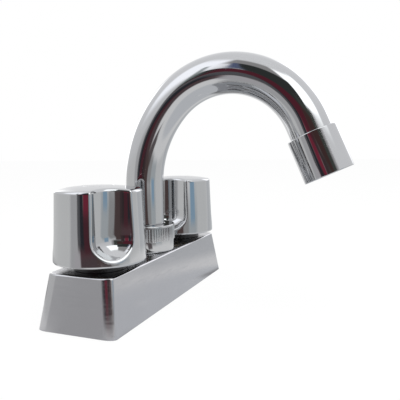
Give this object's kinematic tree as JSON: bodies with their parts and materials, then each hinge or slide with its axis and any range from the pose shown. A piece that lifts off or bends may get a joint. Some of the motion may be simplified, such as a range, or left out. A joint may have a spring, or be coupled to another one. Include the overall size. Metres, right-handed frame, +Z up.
{
  "type": "basin mixer tap",
  "caption": "Basin mixer tap: wedge-sided chrome base, turning knobs with finger hollows, and a swivelling gooseneck spout with an aerator, over threaded inlets.",
  "frame": {"origin": "centre of the base on the deck plane, under the spout's swivel axis", "axes": "+Z up along the swivel axis, +X from the left inlet to the right inlet, and the spout reaches out along -Y over the basin"},
  "size_m": [0.1518, 0.1462, 0.1967],
  "materials": {
    "chrome": "polished",
    "brass": "machined",
    "steel": "plain",
    "black_plastic": "moulded",
    "rubber": "matt",
    "foam_rubber": "foam",
    "white_plastic": "moulded",
    "glide_plastic": "smooth",
    "ceramic": "polished"
  },
  "bodies": {
    "base": {"base_cover": "chrome", "base_plate": "white_plastic", "base_gasket": "foam_rubber", "mixing_boss": "brass", "left_valve_tower": "brass", "right_valve_tower": "brass", "left_cross_tube": "brass", "right_cross_tube": "brass", "left_shank": "brass", "right_shank": "brass", "left_mounting_washer": "rubber", "right_mounting_washer": "rubber", "left_mounting_nut": "white_plastic", "right_mounting_nut": "white_plastic", "left_seat_seal": "rubber", "right_seat_seal": "rubber", "left_fixed_disc": "ceramic", "right_fixed_disc": "ceramic", "left_cartridge_body": "brass", "right_cartridge_body": "brass", "left_bonnet_ring": "black_plastic", "right_bonnet_ring": "black_plastic", "collar_nut": "chrome", "upper_glide_ring": "glide_plastic", "lower_glide_ring": "glide_plastic"},
    "left_handle": {"left_moving_disc": "ceramic", "left_stem": "brass", "left_stem_o_ring": "rubber", "left_stem_clip": "steel", "left_knob": "chrome", "left_handle_insert": "brass", "left_handle_screw": "steel", "left_index_cap": "chrome"},
    "right_handle": {"right_moving_disc": "ceramic", "right_stem": "brass", "right_stem_o_ring": "rubber", "right_stem_clip": "steel", "right_knob": "chrome", "right_handle_insert": "brass", "right_handle_screw": "steel", "right_index_cap": "chrome"},
    "spout": {"spout_plug": "brass", "spout_o_rings": "rubber", "spout_tube": "chrome", "aerator_housing": "chrome", "aerator_washer": "rubber", "aerator_insert": "white_plastic", "aerator_screen": "white_plastic"}
  },
  "joints": [
    {"name": "left_handle_turn", "type": "hinge", "parent": "base", "child": "left_handle", "pos_m": [-0.0508, 0, 0], "axis": [0, 0, 1], "range_deg": [0, 90]},
    {"name": "right_handle_turn", "type": "hinge", "parent": "base", "child": "right_handle", "pos_m": [0.0508, 0, 0], "axis": [0, 0, 1], "range_deg": [-90, 0]},
    {"name": "spout_swivel", "type": "hinge", "parent": "base", "child": "spout", "pos_m": [0, 0, 0], "axis": [0, 0, 1], "continuous": true}
  ]
}
